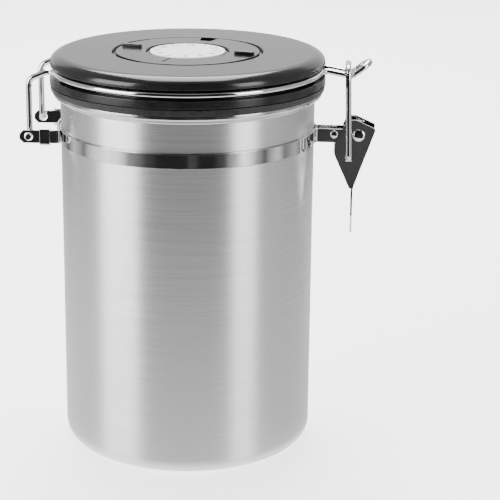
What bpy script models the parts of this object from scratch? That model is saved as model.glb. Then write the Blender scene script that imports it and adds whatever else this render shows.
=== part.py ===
"""Coffee canister with a wire bail hinge, an over-centre wire latch and a turning date ring.

The canister stands on z = 0 with its axis on Z. The hinge is at -X and the latch at +X.
All lengths are in metres and all angles in degrees.
"""
import math

import bmesh
import bpy
from mathutils import Matrix, Vector

# Clearances and build settings
GAP = 0.0003
OVERRUN = 0.002
MERGE_DISTANCE = 0.000001
ROUND_STEPS = 48
VALVE_STEPS = 32
SMALL_STEPS = 16
PORT_STEPS = 10
BEND_STEPS = 5
CORNER_STEPS = 3
SADDLE_STEPS = 10
TIP_STEPS = 6
TAB_STEPS = 9
SHARP_ANGLE = 32.0

# Steel body
BODY_RADIUS = 0.0600
BODY_WALL = 0.0007
BASE_THICKNESS = 0.0010
BASE_CORNER = 0.0080
RIM_HEIGHT = 0.1733
FLARE_HEIGHT = 0.0036
FLARE_REACH = 0.0035

# Strap round the body, with its two ends bent out as arms for the latch
STRAP_BELOW_RIM = 0.0210
STRAP_WIDTH = 0.0065
STRAP_THICKNESS = 0.0008
STRAP_BEND = 0.0020
SEAT_DEPTH = 0.0003
ARM_SPREAD = 0.0089
ARM_OVERHANG = 0.0030

# Hinge bracket on the strap, and the clips folded round its ears
PIN_ABOVE_STRAP_CENTRE = 0.0007
HINGE_OUTSIDE_BAIL = 0.0097
EAR_SPREAD = 0.0426
EAR_THICKNESS = 0.0009
EAR_WIDTH = 0.0062
EAR_OVERHANG = 0.0044
EAR_CHAMFER = 0.0019
EAR_HOLE_PLAY = 0.0012
EAR_BEND = 0.0016
CLIP_LENGTH = 0.0048
CLIP_THICKNESS = 0.0007
CLIP_INSET = 0.0053

# Bail wire round the lid
BAIL_WIRE = 0.0028
GROOVE_CLEARANCE = 0.0004
LEG_INSIDE_EAR = 0.0040
LEG_FOOT_BEND = 0.0028
LEG_TOP_BEND = 0.0040
RING_BEND = 0.0035
WIRE_TAIL = 0.0012
NOSE_SIDE_GAP = 0.0011
NOSE_SEAT_DROP = 0.0021
NOSE_OUTSIDE_BAIL = 0.0139
NOSE_BEND = 0.0030
NOSE_RISE = 37.0
NOSE_LENGTH = 0.0056

# Latch lever, its rivet and the wire loop that it pulls
LEVER_OUTSIDE_NOSE = 0.0040
LEVER_SIDE_GAP = 0.00035
LEVER_SHEET = 0.0009
LEVER_CREST = 0.0072
LEVER_CREST_BACK = 0.0053
LEVER_CREST_FRONT = 0.0011
LEVER_NOSE_REACH = 0.0080
LEVER_NOSE_RISE = 0.0030
LEVER_BELLY_BACK = 0.0124
LEVER_BELLY_DROP = 0.0069
LEVER_BELLY_ROUND = 0.0090
LEVER_NECK_DROP = 0.0260
LEVER_NECK_BACK = 0.0022
LEVER_NECK_WIDTH = 0.0016
LEVER_CORNER = 0.0012
LEVER_HOLE_PLAY = 0.0005
TAB_LENGTH = 0.0225
TAB_FLARE = 0.0025
TAB_BEND = 0.0140
LOOP_WIRE = 0.0027
LOOP_HOLE_PLAY = 0.0013
LOOP_PIN_BACK = 0.0044
LOOP_PIN_DROP = 0.0112
LOOP_SIDE_GAP = 0.0002
LOOP_ABOVE_SEAT = 0.00165
LOOP_INSIDE_NOSE = 0.0016
LOOP_TOP_BEND = 0.0034
LOOP_FOOT_BEND = 0.0021
RIVET_SHANK = 0.0026
RIVET_HEAD = 0.0057
RIVET_DOME = 0.0008
STRAP_RIVET_INSIDE_LEVER = 0.0114
STRAP_RIVET_SHANK = 0.0020
STRAP_RIVET_HEAD = 0.0038
LEVER_NECK_ROUND_SHARE = 0.4
TAB_WIDEST_SHARE = 0.5
TAB_TIP_SHARE = 0.25
RIVET_DOME_SHARES = ((0, 1), (0.5, 1), (0.8, 0.7), (1, 0.2))

# Lid mouldings
LID_OVERHANG = 0.00135
LID_FLANGE = 0.0036
LID_WALL = 0.0020
GROOVE_HEIGHT = 0.0048
GROOVE_DEPTH = 0.00355
PLUG_INSIDE_BODY = 0.0038
PLUG_DEPTH = 0.0041
PLUG_FLOOR = 0.0020
PLUG_LIP = 0.0015
PLUG_LIP_HEIGHT = 0.0012
SPIGOT_BELOW_ROOF = 0.0012
SNAP_BEAD = 0.0004
SNAP_BEAD_HEIGHT = 0.0006
CAP_STEP_IN = 0.0002
CAP_HEIGHT = 0.0055
CAP_EDGE = 0.0011
CAP_SHOULDER = 0.0060
GASKET_THICKNESS = 0.0030
GASKET_TAPER = 0.0014
GASKET_LIP_GAP = 0.0006
GASKET_LIP_REACH = 0.0028
GASKET_LIP_SHARES = ((1, 0), (1.3, 0.5), (2, 1))

# Date ring, its collar and the white disc
RING_RADIUS = 0.0352
RING_BORE = 0.0195
RING_THICKNESS = 0.0029
RING_LIP = 0.0030
RING_LIP_THICKNESS = 0.0008
BAR_LENGTH = 0.0090
BAR_WIDTH = 0.0024
BAR_RISE = 0.0013
BAR_INSET = 0.0072
BAR_ROUND_SHARE = 0.9
BAR_ANGLE = -15.0
WINDOW_INSET = 0.0034
WINDOW_DEPTH = 0.0056
WINDOW_WIDTH = 0.0052
WINDOW_ANGLE = 75.0
COLLAR_RIM = 0.0013
COLLAR_STEM = 0.0050
COLLAR_STEM_DEPTH = 0.0040
COLLAR_BARB = 0.0008
DISC_THICKNESS = 0.0006
DIAL_PROUD = 0.0004

# One-way valve under the lid
VALVE_BORE = 0.0074
VALVE_WALL = 0.0013
VALVE_FLANGE_WIDTH = 0.0038
VALVE_FLANGE_THICKNESS = 0.0016
VALVE_HEIGHT = 0.0086
VALVE_SEAT_THICKNESS = 0.0014
VALVE_FILTER_RECESS = 0.0026
VALVE_PORT = 0.0018
VALVE_PORT_INSIDE_FLAP = 0.0022
VALVE_PORTS = 6
VALVE_STEM_HOLE = 0.0018
FLAP_CLEARANCE = 0.0010
FLAP_THICKNESS = 0.0007
FLAP_STEM = 0.0006
FLAP_STEM_LENGTH = 0.0016
FLAP_CROWN_SHARES = ((0, 2), (0.5, 1.6), (1, 0.6))
FILTER_THICKNESS = 0.0016
COVER_THICKNESS = 0.0010
COVER_SKIRT = 0.0016
COVER_SKIRT_WALL = 0.0009
COVER_VENT = 0.0024

# Heights and radii that follow from the sizes above
BODY_INSIDE = BODY_RADIUS - BODY_WALL
RIM_RADIUS = BODY_RADIUS + FLARE_REACH
SEAT_RADIUS = BODY_RADIUS - SEAT_DEPTH
STRAP_INSIDE = SEAT_RADIUS + GAP
STRAP_CENTRE_HEIGHT = RIM_HEIGHT - STRAP_BELOW_RIM
PIN_HEIGHT = STRAP_CENTRE_HEIGHT + PIN_ABOVE_STRAP_CENTRE
STRAP_LOW = STRAP_CENTRE_HEIGHT - STRAP_WIDTH / 2
STRAP_HIGH = STRAP_CENTRE_HEIGHT + STRAP_WIDTH / 2
STRAP_MIDDLE = STRAP_INSIDE + STRAP_THICKNESS / 2
SADDLE_MIDDLE = STRAP_INSIDE + STRAP_THICKNESS + GAP + EAR_THICKNESS / 2
GASKET_LOW = RIM_HEIGHT + GAP
GASKET_HIGH = GASKET_LOW + GASKET_THICKNESS
FLANGE_LOW = GASKET_HIGH + GAP
FLANGE_HIGH = FLANGE_LOW + LID_FLANGE
GROOVE_TOP = FLANGE_HIGH + GROOVE_HEIGHT
BAIL_HEIGHT = FLANGE_HIGH + GROOVE_HEIGHT / 2
LID_TOP = GROOVE_TOP + CAP_HEIGHT
PLUG_LOW = RIM_HEIGHT - PLUG_DEPTH
PLUG_FLOOR_TOP = PLUG_LOW + PLUG_FLOOR
DIAL_TOP = LID_TOP + DIAL_PROUD
RING_LOW = DIAL_TOP - RING_THICKNESS
RECESS_FLOOR = RING_LOW - GAP
COLLAR_RADIUS = RING_BORE - GAP
DISC_RADIUS = COLLAR_RADIUS - COLLAR_RIM - GAP
BAR_CENTRE_RADIUS = RING_RADIUS - BAR_INSET
WINDOW_INNER_RADIUS = RING_RADIUS - WINDOW_INSET - WINDOW_DEPTH
VALVE_BARREL = VALVE_BORE + VALVE_WALL
VALVE_FLANGE = VALVE_BARREL + VALVE_FLANGE_WIDTH
FLAP_RADIUS = VALVE_BORE - FLAP_CLEARANCE
VALVE_PORT_CIRCLE = FLAP_RADIUS - VALVE_PORT_INSIDE_FLAP
LID_RADIUS = RIM_RADIUS + LID_OVERHANG
PLUG_RADIUS = BODY_INSIDE - PLUG_INSIDE_BODY
SPIGOT_TOP = LID_TOP - LID_WALL - SPIGOT_BELOW_ROOF
GASKET_LIP_DEPTH = GASKET_LOW - PLUG_LOW - PLUG_LIP_HEIGHT - GASKET_LIP_GAP
CAP_RADIUS = LID_RADIUS - CAP_STEP_IN
GROOVE_RADIUS = LID_RADIUS - GROOVE_DEPTH
BAIL_RADIUS = GROOVE_RADIUS + GROOVE_CLEARANCE + BAIL_WIRE / 2
HINGE_REACH = BAIL_RADIUS + HINGE_OUTSIDE_BAIL
NOSE_BEND_REACH = BAIL_RADIUS + NOSE_OUTSIDE_BAIL
NOSE_SEAT_HEIGHT = BAIL_HEIGHT - NOSE_SEAT_DROP
LEVER_REACH = NOSE_BEND_REACH + LEVER_OUTSIDE_NOSE
STRAP_RIVET_REACH = LEVER_REACH - STRAP_RIVET_INSIDE_LEVER
LEVER_SPREAD = ARM_SPREAD + 2 * (LEVER_SHEET + LEVER_SIDE_GAP)
LEVER_HOLE = RIVET_SHANK + LEVER_HOLE_PLAY
TAB_SPREAD = LEVER_SPREAD + 2 * TAB_FLARE
LOOP_HOLE = LOOP_WIRE + LOOP_HOLE_PLAY
LOOP_SPREAD = LEVER_SPREAD + 2 * (GAP + RIVET_DOME + LOOP_SIDE_GAP) + LOOP_WIRE
NOSE_SPREAD = LOOP_SPREAD - LOOP_WIRE - BAIL_WIRE - 2 * NOSE_SIDE_GAP
EAR_HOLE = BAIL_WIRE + EAR_HOLE_PLAY
LEG_SPREAD = EAR_SPREAD - 2 * LEG_INSIDE_EAR
LOOP_TOP_REACH = NOSE_BEND_REACH - LOOP_INSIDE_NOSE
LOOP_TOP_HEIGHT = NOSE_SEAT_HEIGHT + (BAIL_WIRE + LOOP_WIRE) / 2 + LOOP_ABOVE_SEAT
HINGE = Vector((-HINGE_REACH, 0, PIN_HEIGHT))
PIVOT = Vector((LEVER_REACH, 0, PIN_HEIGHT))
LOOP_PIN = PIVOT - Vector((LOOP_PIN_BACK, 0, LOOP_PIN_DROP))


def material(name, colour, roughness, metallic):
    """Return a Principled BSDF material."""
    finish = bpy.data.materials.new(name)
    finish.use_nodes = True
    shader = finish.node_tree.nodes["Principled BSDF"]
    shader.inputs["Base Color"].default_value = (*colour, 1)
    shader.inputs["Roughness"].default_value = roughness
    shader.inputs["Metallic"].default_value = metallic
    return finish


def add_object(name, data, finish):
    """Link a new object that carries the mesh or curve and its material."""
    item = bpy.data.objects.new(name, data)
    bpy.context.scene.collection.objects.link(item)
    data.materials.append(finish)
    return item


def finish_mesh(name, bm, finish, place=None):
    """Turn the bmesh into an object with its faces pointing out and its round faces smooth."""
    bmesh.ops.recalc_face_normals(bm, faces=bm.faces)
    mesh = bpy.data.meshes.new(name)
    bm.to_mesh(mesh)
    bm.free()
    if place is not None:
        mesh.transform(place)
    mesh.shade_smooth()
    mesh.set_sharp_from_angle(angle=math.radians(SHARP_ANGLE))
    return add_object(name, mesh, finish)


def arc(centre_x, centre_y, radius, start, end, steps):
    """Return the points of an arc from the start angle to the end angle."""
    points = []
    for step in range(steps + 1):
        angle = math.radians(start + (end - start) * step / steps)
        points.append((centre_x + radius * math.cos(angle), centre_y + radius * math.sin(angle)))
    return points


def rounded(points, radii, steps):
    """Return the polyline with an arc of the given radius at each inner corner."""
    corners = [Vector(point) for point in points]
    route = [corners[0]]
    for before, corner, after, radius in zip(corners, corners[1:], corners[2:], radii):
        back = (before - corner).normalized()
        ahead = (after - corner).normalized()
        half = back.angle(ahead) / 2
        centre = corner + (back + ahead).normalized() * radius / math.sin(half)
        first = corner + back * radius / math.tan(half) - centre
        last = corner + ahead * radius / math.tan(half) - centre
        for step in range(steps + 1):
            share = step / steps
            blend = first.lerp(last, share)
            route.append(centre + blend.normalized() * radius)
    route.append(corners[-1])
    return route


def rounded_outline(points, radii, steps):
    """Return a closed outline with an arc at every corner."""
    looped = [points[-1], *points, points[0]]
    return rounded(looped, radii, steps)[1:-1]


def turned(name, profile, finish, steps=ROUND_STEPS, place=None):
    """Turn a profile of (radius, height) points about Z."""
    bm = bmesh.new()
    corners = [bm.verts.new((radius, 0, height)) for radius, height in profile]
    edges = [bm.edges.new(pair) for pair in zip(corners, corners[1:])]
    if profile[0][0] > 0:
        edges.append(bm.edges.new((corners[-1], corners[0])))
    bmesh.ops.spin(bm, geom=corners + edges, angle=math.tau, steps=steps, axis=(0, 0, 1),
                   cent=(0, 0, 0), use_merge=True)
    bmesh.ops.remove_doubles(bm, verts=bm.verts, dist=MERGE_DISTANCE)
    return finish_mesh(name, bm, finish, place)


def extruded(name, outline, depth, finish, place=None):
    """Extrude a flat outline along Z from zero to the depth."""
    bm = bmesh.new()
    face = bm.faces.new([bm.verts.new((point[0], point[1], 0)) for point in outline])
    grown = bmesh.ops.extrude_face_region(bm, geom=[face])["geom"]
    lifted = [item for item in grown if isinstance(item, bmesh.types.BMVert)]
    bmesh.ops.translate(bm, vec=(0, 0, depth), verts=lifted)
    return finish_mesh(name, bm, finish, place)


def bar_through(name, stations, finish):
    """Join four-cornered stations into one closed bar."""
    bm = bmesh.new()
    rings = [[bm.verts.new(corner) for corner in station] for station in stations]
    for ring, following in zip(rings, rings[1:]):
        for side in range(4):
            other = (side + 1) % 4
            bm.faces.new((ring[side], ring[other], following[other], following[side]))
    bm.faces.new(rings[0])
    bm.faces.new(rings[-1])
    return finish_mesh(name, bm, finish)


def side_offsets(route, thickness):
    """Return pairs of points on both sides of a flat route, half the thickness away."""
    pairs = []
    last = len(route) - 1
    for index, point in enumerate(route):
        back = (point - route[max(index - 1, 0)]).normalized()
        ahead = (route[min(index + 1, last)] - point).normalized()
        along = (back + ahead).normalized()
        across = Vector((-along.y, along.x))
        widening = max(along.dot(ahead), along.dot(back))
        shift = across * (thickness / 2 / widening)
        pairs.append((point + shift, point - shift))
    return pairs


def upright_strip(name, route, thickness, low, high, finish):
    """Stand a strip of sheet on edge along a route seen from above."""
    stations = []
    for left, right in side_offsets(route, thickness):
        stations.append((left.to_3d() + Vector((0, 0, low)), right.to_3d() + Vector((0, 0, low)),
                         right.to_3d() + Vector((0, 0, high)), left.to_3d() + Vector((0, 0, high))))
    return bar_through(name, stations, finish)


def wire(name, route, diameter, finish):
    """Bend a round wire along a route."""
    curve = bpy.data.curves.new(name, "CURVE")
    curve.dimensions = "3D"
    curve.bevel_depth = diameter / 2
    curve.bevel_resolution = 2
    curve.use_fill_caps = True
    spline = curve.splines.new("POLY")
    spline.points.add(len(route) - 1)
    for point, place in zip(spline.points, route):
        point.co = (*place, 1)
    return add_object(name, curve, finish)


def across(x, z):
    """Return the placing that lays a turned piece along Y at x and z."""
    return Matrix.Translation((x, 0, z)) @ Matrix.Rotation(math.radians(90), 4, "X")


def apply_boolean(target, other, operation):
    """Leave a live Boolean on the target, and hide the other object as a guide that goes with it."""
    step = target.modifiers.new(operation.title() + " " + other.name, "BOOLEAN")
    step.operation = operation
    step.solver = "EXACT"
    step.object = other
    other.hide_render = True
    other.display_type = "WIRE"
    other.parent = target


def drill(target, x, z, diameter, spread, finish, steps=SMALL_STEPS):
    """Cut a round hole along Y through the target."""
    reach = spread / 2 + OVERRUN
    profile = [(0, reach), (diameter / 2, reach), (diameter / 2, -reach), (0, -reach)]
    cutter = turned("cutter_" + target.name, profile, finish, steps, across(x, z))
    apply_boolean(target, cutter, "DIFFERENCE")


def move_origin(item, origin):
    """Put the object's origin on its joint without moving its shape or its guides."""
    for data in [item.data] + [step.object.data for step in item.modifiers]:
        data.transform(Matrix.Translation(-origin))
    item.location = origin


def hang(item, carrier):
    """Parent the item to what carries it and leave it where it is."""
    item.parent = carrier
    item.matrix_parent_inverse = Matrix.Translation(-carrier.location)


def body(steel):
    """Draw the steel shell with its rounded base, strap seat and flared rim."""
    seat_low = STRAP_LOW - GAP
    seat_high = STRAP_HIGH + GAP
    flare_low = RIM_HEIGHT - FLARE_HEIGHT - BODY_WALL
    corner_x = BODY_RADIUS - BASE_CORNER
    outside = arc(corner_x, BASE_CORNER, BASE_CORNER, -90, 0, BEND_STEPS)
    inside_corner = BASE_CORNER - BODY_WALL
    inside = arc(corner_x, BASE_THICKNESS + inside_corner, inside_corner, 0, -90, CORNER_STEPS)
    profile = [(0, 0), *outside]
    profile += [(BODY_RADIUS, seat_low - SEAT_DEPTH), (SEAT_RADIUS, seat_low)]
    profile += [(SEAT_RADIUS, seat_high), (BODY_RADIUS, seat_high + SEAT_DEPTH)]
    profile += [(BODY_RADIUS, flare_low), (RIM_RADIUS, RIM_HEIGHT - BODY_WALL)]
    profile += [(RIM_RADIUS, RIM_HEIGHT), (RIM_RADIUS - BODY_WALL, RIM_HEIGHT)]
    profile += [(BODY_INSIDE, flare_low + BODY_WALL), (BODY_INSIDE, seat_high + BODY_WALL)]
    profile += [(SEAT_RADIUS - BODY_WALL, seat_high), (SEAT_RADIUS - BODY_WALL, seat_low)]
    profile += [(BODY_INSIDE, seat_low - BODY_WALL), *inside, (0, BASE_THICKNESS)]
    turned("canister_body", profile, steel)


def strap(steel):
    """Wrap the strap round the body and bend its ends out as two arms with rounded tips."""
    arm_middle = ARM_SPREAD / 2 - STRAP_THICKNESS / 2
    bend_offset = arm_middle + STRAP_BEND
    bend_centre_x = math.sqrt((STRAP_MIDDLE + STRAP_BEND) ** 2 - bend_offset ** 2)
    turn = math.degrees(math.asin(bend_offset / (STRAP_MIDDLE + STRAP_BEND)))
    arm_end = LEVER_REACH + ARM_OVERHANG
    near_arm = arc(bend_centre_x, bend_offset, STRAP_BEND, -90, -180 + turn, BEND_STEPS)
    far_arm = [(x, -y) for x, y in reversed(near_arm)]
    around = arc(0, 0, STRAP_MIDDLE, turn, 360 - turn, ROUND_STEPS - 2)
    flat_route = [(arm_end, arm_middle), *near_arm, *around[1:-1], *far_arm, (arm_end, -arm_middle)]
    route = [Vector(point) for point in flat_route]
    band = upright_strip("strap_band", route, STRAP_THICKNESS, STRAP_LOW, STRAP_HIGH, steel)
    drill(band, LEVER_REACH, PIN_HEIGHT, RIVET_SHANK + 2 * GAP, ARM_SPREAD, steel)
    drill(band, STRAP_RIVET_REACH, PIN_HEIGHT, STRAP_RIVET_SHANK + 2 * GAP, ARM_SPREAD, steel)


def rivet_profile(shank, head, dome, inner_spread, grip):
    """Return the profile of a shouldered rivet with a domed head at each end."""
    half_grip = grip / 2
    shoulder = shank / 2 + 2 * GAP
    inner = inner_spread / 2
    upper = [(head / 2 * out, half_grip + dome * rise) for out, rise in RIVET_DOME_SHARES]
    upper += [(head / 2, half_grip), (shank / 2, half_grip), (shank / 2, inner), (shoulder, inner)]
    lower = [(radius, -height) for radius, height in reversed(upper)]
    return upper + lower


def rivets(steel):
    """Make the rivet that closes the strap and the one that the lever turns on."""
    inside_arms = ARM_SPREAD - 2 * STRAP_THICKNESS - 2 * GAP
    closing = rivet_profile(STRAP_RIVET_SHANK, STRAP_RIVET_HEAD, RIVET_DOME, inside_arms,
                            ARM_SPREAD + 2 * GAP)
    turned("strap_rivet", closing, steel, SMALL_STEPS, across(STRAP_RIVET_REACH, PIN_HEIGHT))
    pivot = rivet_profile(RIVET_SHANK, RIVET_HEAD, RIVET_DOME, inside_arms, LEVER_SPREAD + 2 * GAP)
    turned("lever_pivot_rivet", pivot, steel, SMALL_STEPS, across(LEVER_REACH, PIN_HEIGHT))


def hinge_bracket(steel):
    """Bend the saddle that lies on the strap, with an ear standing out at each end."""
    ear_middle = EAR_SPREAD / 2 - EAR_THICKNESS / 2
    bend_offset = ear_middle - EAR_BEND
    bend_centre_x = math.sqrt((SADDLE_MIDDLE + EAR_BEND) ** 2 - bend_offset ** 2)
    turn = math.degrees(math.asin(bend_offset / (SADDLE_MIDDLE + EAR_BEND)))
    ear_end = -HINGE_REACH - EAR_OVERHANG
    half_width = EAR_WIDTH / 2
    near_bend = arc(-bend_centre_x, bend_offset, EAR_BEND, 90, -turn, BEND_STEPS)
    far_bend = [(x, -y) for x, y in reversed(near_bend)]
    saddle = arc(0, 0, SADDLE_MIDDLE, 180 - turn, 180 + turn, SADDLE_STEPS)
    flat_route = [(ear_end, ear_middle), *near_bend, *saddle[1:-1], *far_bend, (ear_end, -ear_middle)]
    route = [Vector(point) for point in flat_route]
    bracket = upright_strip("hinge_bracket", route, EAR_THICKNESS, PIN_HEIGHT - half_width,
                            PIN_HEIGHT + half_width, steel)
    drill(bracket, -HINGE_REACH, PIN_HEIGHT, EAR_HOLE, EAR_SPREAD, steel)
    place = Matrix.Translation((0, EAR_SPREAD / 2 + OVERRUN, 0)) @ across(0, 0)
    beyond = ear_end - OVERRUN
    chamfer_x = ear_end + EAR_CHAMFER
    for name, side in (("upper_corner_cutter", 1), ("lower_corner_cutter", -1)):
        edge = PIN_HEIGHT + side * half_width
        outer_edge = edge + side * OVERRUN
        inner_edge = edge - side * EAR_CHAMFER
        outline = [(beyond, outer_edge), (chamfer_x, outer_edge), (chamfer_x, edge),
                   (ear_end, inner_edge), (beyond, inner_edge)]
        corner = extruded(name, outline, EAR_SPREAD + 2 * OVERRUN, steel, place)
        apply_boolean(bracket, corner, "DIFFERENCE")


def hinge_clips(steel):
    """Fold a clip round the outer face and both edges of each ear."""
    inner_x = -HINGE_REACH + CLIP_INSET
    half_width = EAR_WIDTH / 2 + GAP + CLIP_THICKNESS / 2
    outer_y = EAR_SPREAD / 2 + GAP + CLIP_THICKNESS / 2
    inner_y = EAR_SPREAD / 2 - EAR_THICKNESS
    for name, side in (("front_hinge_clip", -1), ("rear_hinge_clip", 1)):
        corners = [(side * inner_y, PIN_HEIGHT + half_width), (side * outer_y, PIN_HEIGHT + half_width),
                   (side * outer_y, PIN_HEIGHT - half_width), (side * inner_y, PIN_HEIGHT - half_width)]
        route = rounded(corners, (CLIP_THICKNESS, CLIP_THICKNESS), CORNER_STEPS)
        stations = []
        for left, right in side_offsets(route, CLIP_THICKNESS):
            stations.append([(inner_x, *left), (inner_x, *right), (inner_x + CLIP_LENGTH, *right),
                             (inner_x + CLIP_LENGTH, *left)])
        bar_through(name, stations, steel)


def bail_half_route():
    """Return the bail from the tip of its nose to the end of its rear foot."""
    nose_middle = NOSE_SPREAD / 2
    rise = math.radians(NOSE_RISE)
    outward = Vector((math.cos(rise), 0, math.sin(rise)))
    bend = Vector((NOSE_BEND_REACH, nose_middle, NOSE_SEAT_HEIGHT))
    tip_centre = bend + outward * NOSE_LENGTH
    tip = []
    for step in range(TIP_STEPS):
        angle = math.radians(90 * step / TIP_STEPS)
        tip.append(tip_centre + outward * nose_middle * math.cos(angle)
                   + Vector((0, nose_middle * (math.sin(angle) - 1), 0)))
    root_offset = nose_middle + RING_BEND
    root_x = math.sqrt((BAIL_RADIUS + RING_BEND) ** 2 - root_offset ** 2)
    root_turn = math.degrees(math.asin(root_offset / (BAIL_RADIUS + RING_BEND)))
    strand = rounded([tip_centre, bend, (root_x, nose_middle, BAIL_HEIGHT)], [NOSE_BEND], BEND_STEPS)
    root = arc(root_x, root_offset, RING_BEND, -90, root_turn - 180, BEND_STEPS)
    leg_middle = LEG_SPREAD / 2
    leg_offset = leg_middle + RING_BEND
    leg_x = math.sqrt((BAIL_RADIUS + RING_BEND) ** 2 - leg_offset ** 2)
    leg_turn = math.degrees(math.asin(leg_offset / (BAIL_RADIUS + RING_BEND)))
    ring = arc(0, 0, BAIL_RADIUS, root_turn, 180 - leg_turn, ROUND_STEPS // 2 - 4)
    shoulder = arc(-leg_x, leg_offset, RING_BEND, -leg_turn, -90, BEND_STEPS)
    level = [Vector((x, y, BAIL_HEIGHT)) for x, y in root[1:] + ring[1:] + shoulder[1:]]
    foot_end = EAR_SPREAD / 2 + WIRE_TAIL
    corners = [level[-1], (-HINGE_REACH, leg_middle, BAIL_HEIGHT),
               (-HINGE_REACH, leg_middle, PIN_HEIGHT), (-HINGE_REACH, foot_end, PIN_HEIGHT)]
    leg = rounded(corners, [LEG_TOP_BEND, LEG_FOOT_BEND], BEND_STEPS)
    return tip + strand + level + leg[1:]


def bail(steel):
    """Bend the bail: hinge feet, legs, the ring in the lid's groove and the nose for the latch."""
    rear = bail_half_route()
    front = [Vector((point.x, -point.y, point.z)) for point in reversed(rear[1:])]
    item = wire("bail_wire", front + rear, BAIL_WIRE, steel)
    move_origin(item, HINGE)
    return item


def lever_plate(name, low_y, steel):
    """Cut one side plate of the lever, with the curved back that clears the strap rivet."""
    outline = [(-LEVER_CREST_BACK, LEVER_CREST), (-LEVER_CREST_FRONT, LEVER_CREST),
               (LEVER_NOSE_REACH, LEVER_NOSE_RISE), (-LEVER_NECK_BACK, -LEVER_NECK_DROP),
               (-LEVER_NECK_BACK - LEVER_NECK_WIDTH, -LEVER_NECK_DROP),
               (-LEVER_BELLY_BACK, -LEVER_BELLY_DROP)]
    neck_round = LEVER_NECK_ROUND_SHARE * LEVER_NECK_WIDTH
    radii = [LEVER_CORNER, LEVER_CORNER, LEVER_CORNER, neck_round, neck_round, LEVER_BELLY_ROUND]
    place = Matrix.Translation((0, low_y + LEVER_SHEET, 0)) @ across(LEVER_REACH, PIN_HEIGHT)
    return extruded(name, rounded_outline(outline, radii, BEND_STEPS), LEVER_SHEET, steel, place)


def lever_web_stations():
    """Return the stations of the lever's back and of the thumb tab below it."""
    top = Vector((LEVER_NOSE_REACH, LEVER_NOSE_RISE))
    neck = Vector((-LEVER_NECK_BACK, -LEVER_NECK_DROP))
    slope = (neck - top).normalized()
    inward = Vector((slope.y, -slope.x)) * (LEVER_SHEET / 2)
    start = top + slope * LEVER_CORNER + inward
    end = neck + inward + Vector((0, -TAB_LENGTH))
    route = rounded([start, neck + inward, end], [TAB_BEND], BEND_STEPS)
    bend_end = route[-2]
    route = route[:-1] + [bend_end.lerp(end, (step + 1) / TAB_STEPS) for step in range(TAB_STEPS)]
    stations = []
    for left, right in side_offsets(route, LEVER_SHEET):
        half = tab_half_width(min(max((neck.y - left.y) / TAB_LENGTH, 0), 1))
        corners = [(left, half), (right, half), (right, -half), (left, -half)]
        stations.append([PIVOT + Vector((point.x, y, point.y)) for point, y in corners])
    return stations


def tab_half_width(share):
    """Widen the tab from the lever's width to a paddle and round its end."""
    if share < TAB_WIDEST_SHARE:
        blend = share / TAB_WIDEST_SHARE
        eased = blend * blend * (3 - 2 * blend)
        return (LEVER_SPREAD + (TAB_SPREAD - LEVER_SPREAD) * eased) / 2
    beyond = (share - TAB_WIDEST_SHARE) / (1 - TAB_WIDEST_SHARE)
    roundness = math.sqrt(1 - beyond ** 2)
    return TAB_SPREAD / 2 * (TAB_TIP_SHARE + (1 - TAB_TIP_SHARE) * roundness)


def lever(steel):
    """Press the lever: two side plates, the sheet that joins them and the tab."""
    item = bar_through("latch_lever", lever_web_stations(), steel)
    plate_lows = {"front_plate": -LEVER_SPREAD / 2, "rear_plate": LEVER_SPREAD / 2 - LEVER_SHEET}
    for name, low_y in plate_lows.items():
        apply_boolean(item, lever_plate(name, low_y, steel), "UNION")
    drill(item, PIVOT.x, PIVOT.z, LEVER_HOLE, LEVER_SPREAD, steel)
    drill(item, LOOP_PIN.x, LOOP_PIN.z, LOOP_HOLE, LEVER_SPREAD, steel)
    move_origin(item, PIVOT)
    return item


def latch_loop(steel):
    """Bend the wire loop, with its feet turned in through the lever's plates."""
    leg_middle = LOOP_SPREAD / 2
    foot_end = LEVER_SPREAD / 2 - LEVER_SHEET - WIRE_TAIL
    top = Vector((LOOP_TOP_REACH, 0, LOOP_TOP_HEIGHT))
    side = Vector((0, leg_middle, 0))
    foot = Vector((0, foot_end, 0))
    corners = [LOOP_PIN + foot, LOOP_PIN + side, top + side, top - side, LOOP_PIN - side, LOOP_PIN - foot]
    radii = [LOOP_FOOT_BEND, LOOP_TOP_BEND, LOOP_TOP_BEND, LOOP_FOOT_BEND]
    item = wire("latch_loop", rounded(corners, radii, BEND_STEPS), LOOP_WIRE, steel)
    move_origin(item, LOOP_PIN)
    return item


def lid_base(plastic):
    """Mould the lid's lower half: plug, flange, wire groove and the spigot that the cap snaps on."""
    bead_low = SPIGOT_TOP - 2 * SNAP_BEAD_HEIGHT
    lip_radius = PLUG_RADIUS + PLUG_LIP
    profile = [(PLUG_RADIUS - LID_WALL, PLUG_FLOOR_TOP), (VALVE_BARREL + GAP, PLUG_FLOOR_TOP)]
    profile += [(VALVE_BARREL + GAP, PLUG_LOW), (lip_radius - PLUG_LIP_HEIGHT / 2, PLUG_LOW)]
    profile += [(lip_radius, PLUG_LOW + PLUG_LIP_HEIGHT / 2), (lip_radius, PLUG_LOW + PLUG_LIP_HEIGHT)]
    profile += [(PLUG_RADIUS, PLUG_LOW + PLUG_LIP_HEIGHT), (PLUG_RADIUS, FLANGE_LOW)]
    profile += [(LID_RADIUS, FLANGE_LOW), (LID_RADIUS, FLANGE_HIGH), (GROOVE_RADIUS, FLANGE_HIGH)]
    profile += [(GROOVE_RADIUS, bead_low), (GROOVE_RADIUS + SNAP_BEAD, bead_low + SNAP_BEAD_HEIGHT)]
    profile += [(GROOVE_RADIUS, SPIGOT_TOP), (GROOVE_RADIUS - LID_WALL, SPIGOT_TOP)]
    profile += [(GROOVE_RADIUS - LID_WALL, FLANGE_HIGH), (PLUG_RADIUS - LID_WALL, FLANGE_LOW)]
    return turned("lid_base", profile, plastic)


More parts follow.
